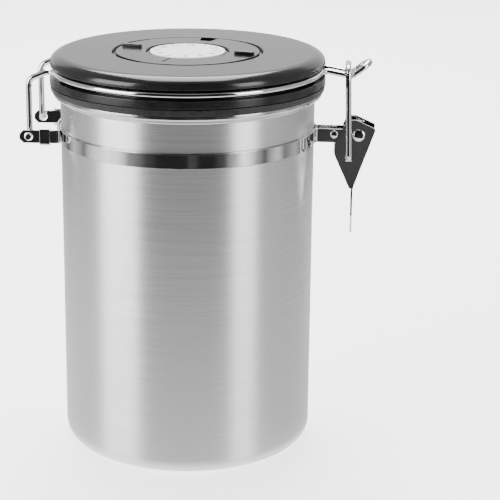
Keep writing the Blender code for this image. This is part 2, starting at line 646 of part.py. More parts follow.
def lid_cap(plastic):
    """Mould the glossy cap with its rounded shoulder and the recess for the date ring."""
    bead_low = SPIGOT_TOP - 2 * SNAP_BEAD_HEIGHT
    bore = GROOVE_RADIUS + GAP
    underside = LID_TOP - LID_WALL
    recess_radius = RING_RADIUS + GAP
    shoulder_drop = CAP_HEIGHT - CAP_EDGE
    centre_x = CAP_RADIUS - CAP_SHOULDER
    centre_z = LID_TOP - shoulder_drop
    shoulder = []
    for x, z in arc(0, 0, 1, 0, 90, BEND_STEPS):
        shoulder.append((centre_x + CAP_SHOULDER * x, centre_z + shoulder_drop * z))
    stem_hole = COLLAR_STEM + GAP
    profile = [(bore, GROOVE_TOP), (CAP_RADIUS, GROOVE_TOP), *shoulder]
    profile += [(recess_radius, LID_TOP), (recess_radius, RECESS_FLOOR), (stem_hole, RECESS_FLOOR)]
    profile += [(stem_hole, RECESS_FLOOR - LID_WALL), (recess_radius + LID_WALL, RECESS_FLOOR - LID_WALL)]
    profile += [(recess_radius + LID_WALL, underside), (centre_x, underside)]
    profile += [(bore, SPIGOT_TOP + GAP), (bore, bead_low + 2 * SNAP_BEAD_HEIGHT)]
    profile += [(bore + SNAP_BEAD, bead_low + SNAP_BEAD_HEIGHT), (bore, bead_low)]
    return turned("lid_cap", profile, plastic)


def gasket(rubber):
    """Mould the gasket that lies on the steel rim, with a lip inside the mouth."""
    inside = PLUG_RADIUS + GAP
    lip_low = GASKET_LOW - GASKET_LIP_DEPTH
    profile = [(inside, GASKET_HIGH), (inside, lip_low)]
    for out, up in GASKET_LIP_SHARES:
        profile.append((inside + GASKET_LIP_REACH * out, lip_low + GASKET_LIP_DEPTH * up))
    profile += [(RIM_RADIUS, GASKET_LOW), (RIM_RADIUS + GASKET_TAPER, GASKET_HIGH)]
    return turned("lid_gasket", profile, rubber)


def date_ring(plastic):
    """Mould the turning ring with two grip bars, a reading window and a lip under the collar."""
    lip_inside = RING_BORE - RING_LIP
    profile = [(RING_BORE, DIAL_TOP), (RING_BORE, RING_LOW + RING_LIP_THICKNESS)]
    profile += [(lip_inside, RING_LOW + RING_LIP_THICKNESS), (lip_inside, RING_LOW)]
    profile += [(RING_RADIUS, RING_LOW), (RING_RADIUS, DIAL_TOP - GAP), (RING_RADIUS - GAP, DIAL_TOP)]
    ring = turned("date_ring", profile, plastic)
    half_length = BAR_LENGTH / 2
    half_width = BAR_WIDTH / 2
    corners = [(-half_length, -half_width), (half_length, -half_width), (half_length, half_width),
               (-half_length, half_width)]
    bar_outline = rounded_outline(corners, [BAR_ROUND_SHARE * half_width] * 4, CORNER_STEPS)
    for name, angle in (("near_bar", BAR_ANGLE), ("far_bar", BAR_ANGLE + 180)):
        turn = Matrix.Rotation(math.radians(angle), 4, "Z")
        place = turn @ Matrix.Translation((BAR_CENTRE_RADIUS, 0, DIAL_TOP - RING_THICKNESS / 2))
        bar = extruded(name, bar_outline, RING_THICKNESS / 2 + BAR_RISE, plastic, place)
        apply_boolean(ring, bar, "UNION")
    half_window = WINDOW_WIDTH / 2
    window = [(0, -half_window), (WINDOW_DEPTH, -half_window),
              (WINDOW_DEPTH, half_window), (0, half_window)]
    turn = Matrix.Rotation(math.radians(WINDOW_ANGLE), 4, "Z")
    place = turn @ Matrix.Translation((WINDOW_INNER_RADIUS, 0, RING_LOW - OVERRUN))
    cutter = extruded("window_cutter", window, RING_THICKNESS + 2 * OVERRUN, plastic, place)
    apply_boolean(ring, cutter, "DIFFERENCE")
    return ring


def collar(plastic):
    """Mould the collar that traps the ring, with a barbed stem through the cap."""
    base = RECESS_FLOOR + GAP
    over_lip = RING_LOW + RING_LIP_THICKNESS + GAP
    foot_radius = RING_BORE - RING_LIP - GAP
    pocket_radius = DISC_RADIUS + GAP
    pocket_floor = DIAL_TOP - DISC_THICKNESS - GAP
    stem_low = RECESS_FLOOR - LID_WALL - COLLAR_STEM_DEPTH / 2
    profile = [(0, pocket_floor), (pocket_radius, pocket_floor), (pocket_radius, DIAL_TOP)]
    profile += [(COLLAR_RADIUS, DIAL_TOP), (COLLAR_RADIUS, over_lip), (foot_radius, over_lip)]
    profile += [(foot_radius, base), (COLLAR_STEM, base), (COLLAR_STEM, RECESS_FLOOR - LID_WALL - GAP)]
    profile += [(COLLAR_STEM + COLLAR_BARB, RECESS_FLOOR - LID_WALL - GAP)]
    profile += [(COLLAR_STEM - COLLAR_BARB, stem_low), (0, stem_low)]
    return turned("dial_collar", profile, plastic)


def disc(plastic):
    """Cut the white disc that lies in the collar."""
    low = DIAL_TOP - DISC_THICKNESS
    profile = [(0, DIAL_TOP), (DISC_RADIUS, DIAL_TOP), (DISC_RADIUS, low), (0, low)]
    return turned("dial_disc", profile, plastic)


def valve(plastic, rubber, felt):
    """Build the one-way valve: body, filter, mushroom flap and cover."""
    low = PLUG_LOW - GAP - VALVE_FLANGE_THICKNESS
    high = low + VALVE_HEIGHT
    seat_low = low + VALVE_FILTER_RECESS
    seat_high = seat_low + VALVE_SEAT_THICKNESS
    stem_hole = VALVE_STEM_HOLE / 2
    profile = [(stem_hole, seat_high), (stem_hole, seat_low), (VALVE_BORE, seat_low), (VALVE_BORE, low)]
    profile += [(VALVE_FLANGE, low), (VALVE_FLANGE, low + VALVE_FLANGE_THICKNESS)]
    profile += [(VALVE_BARREL, low + VALVE_FLANGE_THICKNESS), (VALVE_BARREL, high), (VALVE_BORE, high)]
    profile += [(VALVE_BORE, seat_high)]
    valve_body = turned("valve_body", profile, plastic, VALVE_STEPS)
    for port in range(VALVE_PORTS):
        turn = Matrix.Rotation(math.tau * port / VALVE_PORTS, 4, "Z")
        place = turn @ Matrix.Translation((VALVE_PORT_CIRCLE, 0, seat_low - OVERRUN))
        reach = VALVE_SEAT_THICKNESS + 2 * OVERRUN
        cylinder = [(0, reach), (VALVE_PORT / 2, reach), (VALVE_PORT / 2, 0), (0, 0)]
        cutter = turned("port_cutter", cylinder, plastic, PORT_STEPS, place)
        apply_boolean(valve_body, cutter, "DIFFERENCE")
    filter_low = seat_low - GAP - FILTER_THICKNESS
    pad = [(0, seat_low - GAP), (VALVE_BORE - GAP, seat_low - GAP), (VALVE_BORE - GAP, filter_low)]
    valve_filter = turned("valve_filter", [*pad, (0, filter_low)], felt, VALVE_STEPS)
    flap_low = seat_high + GAP
    stem_low = flap_low - FLAP_STEM_LENGTH
    flap = [(FLAP_RADIUS * out, flap_low + FLAP_THICKNESS * up) for out, up in FLAP_CROWN_SHARES]
    flap += [(FLAP_RADIUS, flap_low), (FLAP_STEM, flap_low), (FLAP_STEM, stem_low), (0, stem_low)]
    valve_flap = turned("valve_flap", flap, rubber, VALVE_STEPS)
    cover_low = high + GAP
    cover_high = cover_low + COVER_THICKNESS
    skirt_low = cover_low - COVER_SKIRT
    skirt_radius = VALVE_BORE - GAP
    skirt_inside = skirt_radius - COVER_SKIRT_WALL
    vent = COVER_VENT / 2
    cover = [(vent, cover_high), (vent, cover_low), (skirt_inside, cover_low), (skirt_inside, skirt_low)]
    cover += [(skirt_radius, skirt_low), (skirt_radius, cover_low)]
    cover += [(VALVE_BARREL, cover_low), (VALVE_BARREL, cover_high)]
    valve_cover = turned("valve_cover", cover, plastic, VALVE_STEPS)
    return [valve_body, valve_filter, valve_flap, valve_cover]


def build():
    """Clear the scene and model every piece."""
    for item in list(bpy.data.objects):
        bpy.data.objects.remove(item)
    brushed = material("brushed steel", (0.62, 0.62, 0.62), 0.32, 1.0)
    polished = material("polished steel", (0.75, 0.75, 0.76), 0.12, 1.0)
    gloss = material("gloss black plastic", (0.012, 0.012, 0.013), 0.08, 0.0)
    rubber = material("black silicone", (0.02, 0.02, 0.02), 0.6, 0.0)
    white = material("white print", (0.85, 0.85, 0.84), 0.35, 0.0)
    felt = material("filter felt", (0.7, 0.68, 0.63), 0.9, 0.0)
    body(brushed)
    strap(polished)
    rivets(polished)
    hinge_bracket(polished)
    hinge_clips(polished)
    hang(latch_loop(polished), lever(polished))
    lid_hinge = bpy.data.objects.new("lid_hinge", None)
    lid_hinge.location = HINGE
    bpy.context.scene.collection.objects.link(lid_hinge)
    lid = [bail(polished), lid_base(gloss), lid_cap(gloss), gasket(rubber)]
    lid += [date_ring(gloss), collar(gloss), disc(white), *valve(gloss, rubber, felt)]
    for item in lid:
        hang(item, lid_hinge)


build()
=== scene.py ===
import math

import bpy
from mathutils import Matrix, Vector


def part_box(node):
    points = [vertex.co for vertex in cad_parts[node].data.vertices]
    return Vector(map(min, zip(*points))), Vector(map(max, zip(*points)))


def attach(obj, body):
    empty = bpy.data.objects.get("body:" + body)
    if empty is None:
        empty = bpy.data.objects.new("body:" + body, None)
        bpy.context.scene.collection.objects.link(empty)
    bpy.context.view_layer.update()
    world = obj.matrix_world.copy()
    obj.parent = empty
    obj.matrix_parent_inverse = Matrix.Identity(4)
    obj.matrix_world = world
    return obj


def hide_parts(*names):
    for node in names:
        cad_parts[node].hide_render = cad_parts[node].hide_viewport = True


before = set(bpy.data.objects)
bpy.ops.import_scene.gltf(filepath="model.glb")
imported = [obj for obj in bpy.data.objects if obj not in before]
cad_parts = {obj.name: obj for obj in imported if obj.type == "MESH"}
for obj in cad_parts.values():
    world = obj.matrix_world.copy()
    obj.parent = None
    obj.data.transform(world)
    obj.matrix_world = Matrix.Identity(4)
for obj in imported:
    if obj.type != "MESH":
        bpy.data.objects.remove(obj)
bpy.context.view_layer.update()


# The studio: a pale floor that gives off light, a dim room, a soft box at each side, a panel
# overhead and a light on the back. Cards on the floor and one upright card in front show in
# reflections only, and give the steel and the lid their dark and light bands.
CAMERA_TURN = 5.0
CAMERA_TILT = 72.69
CAMERA_DISTANCE = 0.8112
CAMERA_HEIGHT = 0.3456
LENS = 125.9
FRAME_SHIFT = 0.1248
ROOM_GREY = 0.55
PAPER_ROUGHNESS = 0.9
FLOOR_SIZE = 60.0
FLOOR_TONE = 0.9
FLOOR_GLOW = 2.0
CARD_STEPS = 24
CARD_LIFT = 0.0002
CARD_START = 0.067
CARD_STEP = 0.5
CARD_FAR = 25.0
FRONT_SPAN = (-38, 45)
FRONT_START = 0.064
FRONT_STEP = 0.30
DARK_GLOW = 0.02
WALL_REACH = 2.0
WALL_HEIGHT = 3.5
GRADED_SPAN = (-160, 150)
GRADED_BAND = (0.48, 0.85)
GRADED_LIFT = 0.0004
GRADED_GLOW = 2.4


def placed(azimuth, reach, height):
    """Return the point at an azimuth in degrees, counted from -Y towards +X."""
    angle = math.radians(azimuth)
    return Vector((reach * math.sin(angle), -reach * math.cos(angle), height))


def shader_of(finish):
    """Return a material's surface shader."""
    return finish.node_tree.nodes["Principled BSDF"]


def paper(name, tone, glow):
    """Return a matt paper that gives off some light of its own."""
    finish = bpy.data.materials.new(name)
    finish.use_nodes = True
    shader = shader_of(finish)
    shader.inputs["Base Color"].default_value = (tone, tone, tone, 1)
    shader.inputs["Roughness"].default_value = PAPER_ROUGHNESS
    shader.inputs["Specular IOR Level"].default_value = 0
    shader.inputs["Emission Color"].default_value = (1, 1, 1, 1)
    shader.inputs["Emission Strength"].default_value = glow
    return finish


def card(name, span, near, far, low, high, glow):
    """Set a card over a span of azimuths, for reflections only. Its near edge is its low one."""
    bpy.ops.object.select_all(action="DESELECT")
    bpy.ops.mesh.primitive_grid_add(x_subdivisions=CARD_STEPS, y_subdivisions=1, size=2)
    sheet = bpy.context.object
    sheet.name = name
    start, end = span
    for corner in sheet.data.vertices:
        azimuth = start + (end - start) * (corner.co.x + 1) / 2
        share = (corner.co.y + 1) / 2
        corner.co = placed(azimuth, near + (far - near) * share, low + (high - low) * share)
    sheet.data.materials.append(paper(name, 0, glow))
    sheet.visible_camera = False
    sheet.visible_diffuse = False
    sheet.visible_shadow = False
    return sheet


bpy.ops.object.select_all(action="DESELECT")
bpy.ops.object.camera_add(location=placed(CAMERA_TURN, CAMERA_DISTANCE, CAMERA_HEIGHT),
                          rotation=(math.radians(CAMERA_TILT), 0, math.radians(CAMERA_TURN)))
camera = bpy.context.object
camera.data.lens = LENS
camera.data.shift_x = FRAME_SHIFT
bpy.context.scene.camera = camera

room = bpy.data.worlds.new("dim_room")
room.use_nodes = True
room.node_tree.nodes["Background"].inputs["Color"].default_value = (ROOM_GREY, ROOM_GREY, ROOM_GREY, 1)
bpy.context.scene.world = room

bpy.ops.object.select_all(action="DESELECT")
bpy.ops.mesh.primitive_plane_add(size=FLOOR_SIZE)
floor = bpy.context.object
floor.name = "studio_floor"
floor.data.materials.append(paper("floor_paper", FLOOR_TONE, FLOOR_GLOW))

floor_cards = (
    # name, azimuths, near edge, far edge, glow
    ("front_near_card", FRONT_SPAN, FRONT_START, FRONT_STEP, 1.75),
    ("front_far_card", FRONT_SPAN, FRONT_STEP, CARD_FAR, DARK_GLOW),
    ("right_light_card", (45, 68), CARD_START, CARD_FAR, 1.5),
    ("left_light_card", (-82, -38), CARD_START, CARD_FAR, 1.9),
    ("right_near_card", (68, 160), CARD_START, CARD_STEP, 1.4),
    ("right_far_card", (68, 160), CARD_STEP, CARD_FAR, 0.5),
    ("left_near_card", (-160, -82), CARD_START, CARD_STEP, 2.0),
    ("left_far_card", (-160, -82), CARD_STEP, CARD_FAR, 0.5),
    ("back_far_card", (160, 200), CARD_STEP, CARD_FAR, 0.6),
)
for name, span, near, far, glow in floor_cards:
    card(name, span, near, far, CARD_LIFT, CARD_LIFT, glow)
card("front_wall_card", FRONT_SPAN, WALL_REACH, WALL_REACH, 0, WALL_HEIGHT, DARK_GLOW)

graded = card("middle_card", GRADED_SPAN, *GRADED_BAND, GRADED_LIFT, GRADED_LIFT, GRADED_GLOW)
graded_tones = (
    # azimuth, share of the card's glow
    (-150, 0.40), (-124, 0.06), (-112, 0.36), (-96, 0.10), (-84, 0.50), (-68, 0.90), (-56, 0.75),
    (-46, 0.16), (-30, 0.035), (-20, 0.01), (4, 0.01), (6.5, 0.033), (12, 0.028), (15, 0.01),
    (26, 0.01), (36, 0.04), (46, 0.30), (54, 0.95), (66, 0.22), (74, 0.05), (88, 0.40),
    (97, 0.10), (112, 0.24), (124, 0.05), (140, 0.3),
)
graded_nodes = graded.active_material.node_tree.nodes
graded_links = graded.active_material.node_tree.links
graded_place = graded_nodes.new("ShaderNodeTexCoord")
graded_turn = graded_nodes.new("ShaderNodeMapping")
graded_turn.inputs["Rotation"].default_value = (0, 0, math.radians(90))
graded_round = graded_nodes.new("ShaderNodeTexGradient")
graded_round.gradient_type = "RADIAL"
graded_ramp = graded_nodes.new("ShaderNodeValToRGB")
graded_links.new(graded_place.outputs["Object"], graded_turn.inputs["Vector"])
graded_links.new(graded_turn.outputs["Vector"], graded_round.inputs["Vector"])
graded_links.new(graded_round.outputs["Fac"], graded_ramp.inputs["Fac"])
graded_links.new(graded_ramp.outputs["Color"], shader_of(graded.active_material).inputs["Emission Color"])
stops = graded_ramp.color_ramp.elements
stops.remove(stops[1])
for step, (azimuth, share) in enumerate(graded_tones):
    position = azimuth / 360 + 0.5
    stop = stops.new(position) if step else stops[0]
    stop.position = position
    stop.color = (share, share, share, 1)

soft_boxes = (
    # name, azimuth, reach, height, width, length, power, height that it is turned to
    ("left_soft_box", -58, 1.3, 0.40, 0.85, 1.00, 26, 0.15),
    ("right_soft_box", 56, 1.3, 0.40, 0.50, 1.00, 12, 0.15),
    ("top_soft_box", 188, 0.65, 1.6, 1.05, 1.65, 73, 0.1),
    ("back_wall_light", 180, 2.6, 0.95, 5.0, 1.9, 27, 0.3),
)
for name, azimuth, reach, height, width, length, power, aim_height in soft_boxes:
    place = placed(azimuth, reach, height)
    aim = Vector((0, 0, aim_height)) - place
    bpy.ops.object.light_add(type="AREA", location=place)
    light = bpy.context.object
    light.name = name
    light.rotation_euler = aim.to_track_quat("-Z", "Y").to_euler()
    light.data.shape = "RECTANGLE"
    light.data.size = width
    light.data.size_y = length
    light.data.energy = power


# The shell: one drawn cup of stainless steel, rounded at the base and flared into a rim,
# brushed round its axis. A shallow seat is rolled in where the strap lies, and the rolled rim
# is left bright.
ROUND_SIDES = 192
SHELL_WALL = 0.0007
SHELL_FLOOR = 0.0010
SHELL_CORNER = 0.0080
CORNER_STEPS = 12
INNER_CORNER_STEPS = 10
FLARE_REACH = 0.0035
FLARE_HEIGHT = 0.0036
ROLL_RADIUS = 0.0016
ROLL_DROP = 0.0010
ROLL_START = -60
ROLL_STEPS = 8
SEAT_DEPTH = 0.0003
SEAT_MARGIN = 0.0003
SHELL_EDGE = 0.00012
EDGE_SEGMENTS = 2
SMOOTH_ANGLE = math.radians(35)
MERGE_DISTANCE = 0.000002
SLIVER_LENGTH = 0.000004
GRAIN_SPAN = (0.3, 0.7)
GRAIN_ROUGHNESS = 0.6
RELIEF_DEPTH = 0.0001
BRUSHED_PULL = 0.93
QUARTER_TURN = 0.25


def arc(centre_x, centre_z, radius_x, radius_z, start, end, steps):
    """Return points on an arc between two angles in degrees."""
    angles = [math.radians(start + (end - start) * step / steps) for step in range(steps + 1)]
    return [(centre_x + radius_x * math.cos(a), centre_z + radius_z * math.sin(a)) for a in angles]


def turned(name, rings, sides=ROUND_SIDES):
    """Extrude a circle through rings of (radius, height). A closed profile ends on its first ring."""
    bpy.ops.object.select_all(action="DESELECT")
    bpy.ops.mesh.primitive_circle_add(vertices=sides, radius=rings[0][0], location=(0, 0, rings[0][1]))
    piece = bpy.context.object
    piece.name = name
    bpy.ops.object.transform_apply(location=True, rotation=True, scale=True)
    bpy.ops.object.mode_set(mode="EDIT")
    bpy.ops.mesh.select_all(action="SELECT")
    radius, height = rings[0]
    for next_radius, next_height in rings[1:]:
        bpy.ops.mesh.extrude_edges_move(TRANSFORM_OT_translate={"value": (0, 0, next_height - height)})
        if next_radius == 0:
            bpy.ops.mesh.merge(type="CENTER")
            break
        share = next_radius / radius
        bpy.ops.transform.resize(value=(share, share, 1), center_override=(0, 0, next_height))
        radius, height = next_radius, next_height
    bpy.ops.mesh.select_all(action="SELECT")
    bpy.ops.mesh.remove_doubles(threshold=MERGE_DISTANCE)
    bpy.ops.mesh.fill_holes(sides=0)
    bpy.ops.mesh.normals_make_consistent(inside=False)
    bpy.ops.object.mode_set(mode="OBJECT")
    return piece


def select_only(piece):
    """Make the piece the only selected object, and the active one."""
    bpy.ops.object.select_all(action="DESELECT")
    piece.select_set(True)
    bpy.context.view_layer.objects.active = piece


def soften(piece, width, segments=EDGE_SEGMENTS):
    """Break the piece's sharp edges and shade it smooth, with its broad faces kept flat."""
    select_only(piece)
    if width > 0:
        edge = piece.modifiers.new("edge", "BEVEL")
        edge.width = width
        edge.segments = segments
        edge.limit_method = "ANGLE"
        edge.angle_limit = SMOOTH_ANGLE
        edge.use_clamp_overlap = True
        bpy.ops.object.modifier_apply(modifier=edge.name)
        bpy.ops.object.mode_set(mode="EDIT")
        bpy.ops.mesh.select_all(action="SELECT")
        bpy.ops.mesh.dissolve_degenerate(threshold=SLIVER_LENGTH)
        bpy.ops.object.mode_set(mode="OBJECT")
    bpy.ops.object.shade_smooth_by_angle(angle=SMOOTH_ANGLE)
    if width > 0:
        facing = piece.modifiers.new("facing", "WEIGHTED_NORMAL")
        facing.keep_sharp = True
        bpy.ops.object.modifier_apply(modifier=facing.name)


def dress(piece, body, nodes, finish):
    """Give the piece its finish and put it in place of its nodes."""
    piece.data.materials.clear()
    piece.data.materials.append(finish)
    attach(piece, body)
    if nodes:
        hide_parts(*nodes)


def grained(name, roughness, dark, light, grain, detail, bump):
    """Return a material whose colour, roughness and fine relief follow one stretched noise."""
    finish = bpy.data.materials.new(name)
    finish.use_nodes = True
    nodes = finish.node_tree.nodes
    links = finish.node_tree.links
    shader = shader_of(finish)
    place = nodes.new("ShaderNodeTexCoord")
    stretch = nodes.new("ShaderNodeMapping")
    stretch.inputs["Scale"].default_value = grain
    links.new(place.outputs["Object"], stretch.inputs["Vector"])
    noise = nodes.new("ShaderNodeTexNoise")
    noise.inputs["Scale"].default_value = 1.0
    noise.inputs["Detail"].default_value = detail
    noise.inputs["Roughness"].default_value = GRAIN_ROUGHNESS
    links.new(stretch.outputs["Vector"], noise.inputs["Vector"])
    tone = nodes.new("ShaderNodeValToRGB")
    for stop, position, colour in zip(tone.color_ramp.elements, GRAIN_SPAN, (dark, light)):
        stop.position = position
        stop.color = (*colour, 1)
    links.new(noise.outputs["Fac"], tone.inputs["Fac"])
    links.new(tone.outputs["Color"], shader.inputs["Base Color"])
    gloss = nodes.new("ShaderNodeMapRange")
    gloss_ends = ("From Min", "From Max", "To Min", "To Max")
    for socket, value in zip(gloss_ends, (*GRAIN_SPAN, *roughness)):
        gloss.inputs[socket].default_value = value
    links.new(noise.outputs["Fac"], gloss.inputs["Value"])
    links.new(gloss.outputs["Result"], shader.inputs["Roughness"])
    relief = nodes.new("ShaderNodeBump")
    relief.inputs["Strength"].default_value = bump
    relief.inputs["Distance"].default_value = RELIEF_DEPTH
    links.new(noise.outputs["Fac"], relief.inputs["Height"])
    links.new(relief.outputs["Normal"], shader.inputs["Normal"])
    return finish


brushed_steel = grained("brushed_steel", roughness=(0.35, 0.45), dark=(0.53, 0.53, 0.535),
                        light=(0.67, 0.67, 0.675), grain=(24, 24, 1500), detail=7, bump=0.03)
brushed_shader = shader_of(brushed_steel)
brushed_shader.inputs["Metallic"].default_value = 1.0
brushed_shader.inputs["Anisotropic"].default_value = BRUSHED_PULL
brushed_shader.inputs["Anisotropic Rotation"].default_value = QUARTER_TURN
around = brushed_steel.node_tree.nodes.new("ShaderNodeTangent")
around.direction_type = "RADIAL"
around.axis = "Z"
brushed_steel.node_tree.links.new(around.outputs["Tangent"], brushed_shader.inputs["Tangent"])

rim_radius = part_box("canister_body")[1].x
rim_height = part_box("canister_body")[1].z
strap_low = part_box("strap_band")[0].z - SEAT_MARGIN
strap_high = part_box("strap_band")[1].z + SEAT_MARGIN
shell_radius = rim_radius - FLARE_REACH
seat_radius = shell_radius - SEAT_DEPTH
flare_low = rim_height - FLARE_HEIGHT - SHELL_WALL
inner_radius = shell_radius - SHELL_WALL
flat_radius = shell_radius - SHELL_CORNER
inner_corner = SHELL_CORNER - SHELL_WALL
shell_rings = arc(flat_radius, SHELL_CORNER, SHELL_CORNER, SHELL_CORNER, -90, 0, CORNER_STEPS)
shell_rings += [(shell_radius, strap_low - SEAT_DEPTH), (seat_radius, strap_low)]
shell_rings += [(seat_radius, strap_high), (shell_radius, strap_high + SEAT_DEPTH)]
shell_rings += [(shell_radius, flare_low), (shell_radius + SHELL_WALL / 2, flare_low + SHELL_WALL)]
shell_rings += arc(rim_radius - ROLL_RADIUS, rim_height - ROLL_DROP, ROLL_RADIUS, ROLL_RADIUS,
                   ROLL_START, 0, ROLL_STEPS)
shell_rings += [(rim_radius, rim_height)]
shell_rings += [(rim_radius - SHELL_WALL, rim_height), (inner_radius, flare_low + SHELL_WALL)]
shell_rings += [(inner_radius, strap_high + SHELL_WALL), (seat_radius - SHELL_WALL, strap_high)]
shell_rings += [(seat_radius - SHELL_WALL, strap_low), (inner_radius, strap_low - SHELL_WALL)]
shell_rings += arc(flat_radius, SHELL_FLOOR + inner_corner, inner_corner, inner_corner,
                   0, -90, INNER_CORNER_STEPS)
shell_rings += [(0, SHELL_FLOOR)]
shell = turned("canister_shell", shell_rings)
soften(shell, SHELL_EDGE)
dress(shell, "canister", ["canister_body"], brushed_steel)

rolled_steel = grained("rolled_rim_steel", roughness=(0.10, 0.18), dark=(0.60, 0.60, 0.605),
                       light=(0.68, 0.68, 0.685), grain=(160, 160, 160), detail=4, bump=0.02)
shader_of(rolled_steel).inputs["Metallic"].default_value = 1.0
shell.data.materials.append(rolled_steel)
for face in shell.data.polygons:
    if face.center.z > flare_low:
        face.material_index = 1


# Strap, hinge bracket and ear clips: polished stainless sheet, cut and bent, with its
# sheared edges broken. The strap's arms and the saddle's ears stand out from the shell.
SHEET_EDGE = 0.0002
NODE_MERGE = 0.00001
FLAT_ANGLE = math.radians(0.5)

polished_steel = grained("polished_steel", roughness=(0.035, 0.085), dark=(0.70, 0.70, 0.705),
                         light=(0.80, 0.80, 0.805), grain=(240, 240, 240), detail=5, bump=0.015)
shader_of(polished_steel).inputs["Metallic"].default_value = 1.0


def refined(node, name, width):
    """Copy a node's mesh, join its triangles into faces and break its edges."""
    piece = bpy.data.objects.new(name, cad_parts[node].data.copy())
    bpy.context.scene.collection.objects.link(piece)
    select_only(piece)
    bpy.ops.object.mode_set(mode="EDIT")
    bpy.ops.mesh.select_all(action="SELECT")
    bpy.ops.mesh.remove_doubles(threshold=NODE_MERGE)
    bpy.ops.mesh.dissolve_limited(angle_limit=FLAT_ANGLE)
    bpy.ops.object.mode_set(mode="OBJECT")
    soften(piece, width)
    return piece


sheet_pieces = {"strap_band": "steel_strap", "hinge_bracket": "hinge_saddle",
                "front_hinge_clip": "front_ear_clip", "rear_hinge_clip": "rear_ear_clip"}
for node, name in sheet_pieces.items():
    dress(refined(node, name, SHEET_EDGE), "canister", [node], polished_steel)


# Rivets: one closes the strap's arms, one carries the lever. Each is a shouldered steel pin
# that keeps the arms apart, with a low dome headed over at each end.
RIVET_DOME = 0.0008
RIVET_SHOULDER = 0.00335
RIVET_SIDES = 48
HEAD_END = 86
HEAD_STEPS = 10

rivet_sizes = (
    # node, name, shank radius, shoulder radius
    ("strap_rivet", "closing_rivet", 0.0010, 0.0016),
    ("lever_pivot_rivet", "lever_rivet", 0.0013, 0.0019),
)
for node, name, shank, shoulder in rivet_sizes:
    rivet_low, rivet_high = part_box(node)
    half_grip = rivet_high.y - RIVET_DOME
    head_radius = (rivet_high.x - rivet_low.x) / 2
    half_rivet = [(shoulder, RIVET_SHOULDER), (shank, RIVET_SHOULDER), (shank, half_grip)]
    half_rivet += arc(0, half_grip, head_radius, RIVET_DOME, 0, HEAD_END, HEAD_STEPS)
    other_half = [(radius, -place) for radius, place in reversed(half_rivet)]
    rivet = turned(name, other_half + half_rivet, RIVET_SIDES)
    lying = Matrix.Translation((rivet_low + rivet_high) / 2) @ Matrix.Rotation(math.radians(90), 4, "X")
    rivet.data.transform(lying)
    soften(rivet, 0)
    dress(rivet, "canister", [node], polished_steel)


# Lid base: the black moulding that plugs the mouth, with the flange that the rim carries,
# the groove that the bail lies in and the spigot that the cap snaps on.
LID_WALL = 0.0020
LID_FLANGE = 0.0036
GROOVE_HEIGHT = 0.0048
GROOVE_RADIUS = 0.0613
PLUG_RADIUS = 0.0555
PLUG_LIP = 0.0015
PLUG_LIP_HEIGHT = 0.0012
PLUG_FLOOR = 0.0020
VALVE_HOLE = 0.0090
SNAP_BEAD = 0.0004
SNAP_BEAD_HEIGHT = 0.0006
MOULDED_SEGMENTS = 3
BASE_EDGE = 0.00028

gloss_black = grained("gloss_black_plastic", roughness=(0.15, 0.20), dark=(0.004, 0.004, 0.0043),
                      light=(0.007, 0.007, 0.0073), grain=(90, 90, 90), detail=3, bump=0.01)
shader_of(gloss_black).inputs["IOR"].default_value = 1.45

base_low, base_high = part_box("lid_base")
cap_low, cap_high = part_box("lid_cap")
flange_high = cap_low.z - GROOVE_HEIGHT
flange_low = flange_high - LID_FLANGE
bead_low = base_high.z - 2 * SNAP_BEAD_HEIGHT
lip_radius = PLUG_RADIUS + PLUG_LIP
base_rings = [(PLUG_RADIUS - LID_WALL, base_low.z + PLUG_FLOOR), (VALVE_HOLE, base_low.z + PLUG_FLOOR)]
base_rings += [(VALVE_HOLE, base_low.z), (lip_radius - PLUG_LIP_HEIGHT / 2, base_low.z)]
base_rings += [(lip_radius, base_low.z + PLUG_LIP_HEIGHT / 2), (lip_radius, base_low.z + PLUG_LIP_HEIGHT)]
base_rings += [(PLUG_RADIUS, base_low.z + PLUG_LIP_HEIGHT), (PLUG_RADIUS, flange_low)]
base_rings += [(base_high.x, flange_low), (base_high.x, flange_high), (GROOVE_RADIUS, flange_high)]
base_rings += [(GROOVE_RADIUS, bead_low), (GROOVE_RADIUS + SNAP_BEAD, bead_low + SNAP_BEAD_HEIGHT)]
base_rings += [(GROOVE_RADIUS, base_high.z), (GROOVE_RADIUS - LID_WALL, base_high.z)]
base_rings += [(GROOVE_RADIUS - LID_WALL, flange_high), (PLUG_RADIUS - LID_WALL, flange_low)]
base_rings += [base_rings[0]]
lower_lid = turned("lower_lid", base_rings)
soften(lower_lid, BASE_EDGE, MOULDED_SEGMENTS)
dress(lower_lid, "lid", ["lid_base"], gloss_black)


# Gasket: a moulded ring of black silicone, slipped over the lid's plug. It lies between the
# flange and the rim, with a lip inside the mouth.
GASKET_LIP_DEPTH = 0.0026
GASKET_LIP_REACH = 0.0028
GASKET_TAPER = 0.0005
GASKET_CLEARANCE = 0.0003
GASKET_EDGE = 0.0002

silicone = grained("black_silicone", roughness=(0.26, 0.36), dark=(0.005, 0.005, 0.005),
                   light=(0.010, 0.010, 0.010), grain=(420, 420, 420), detail=6, bump=0.03)
shader_of(silicone).inputs["IOR"].default_value = 1.42

gasket_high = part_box("lid_gasket")[1]
gasket_bore = PLUG_RADIUS + GASKET_CLEARANCE
lip_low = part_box("lid_gasket")[0].z
seat_height = lip_low + GASKET_LIP_DEPTH
gasket_rings = [(gasket_bore, gasket_high.z), (gasket_bore, lip_low)]
gasket_rings += [(gasket_bore + GASKET_LIP_REACH, lip_low), (gasket_bore + 2 * GASKET_LIP_REACH, seat_height)]
gasket_rings += [(gasket_high.x - GASKET_TAPER, seat_height), (gasket_high.x, gasket_high.z)]
gasket_rings += [gasket_rings[0]]
seal = turned("rim_gasket", gasket_rings)
soften(seal, GASKET_EDGE)
dress(seal, "lid", ["lid_gasket"], silicone)


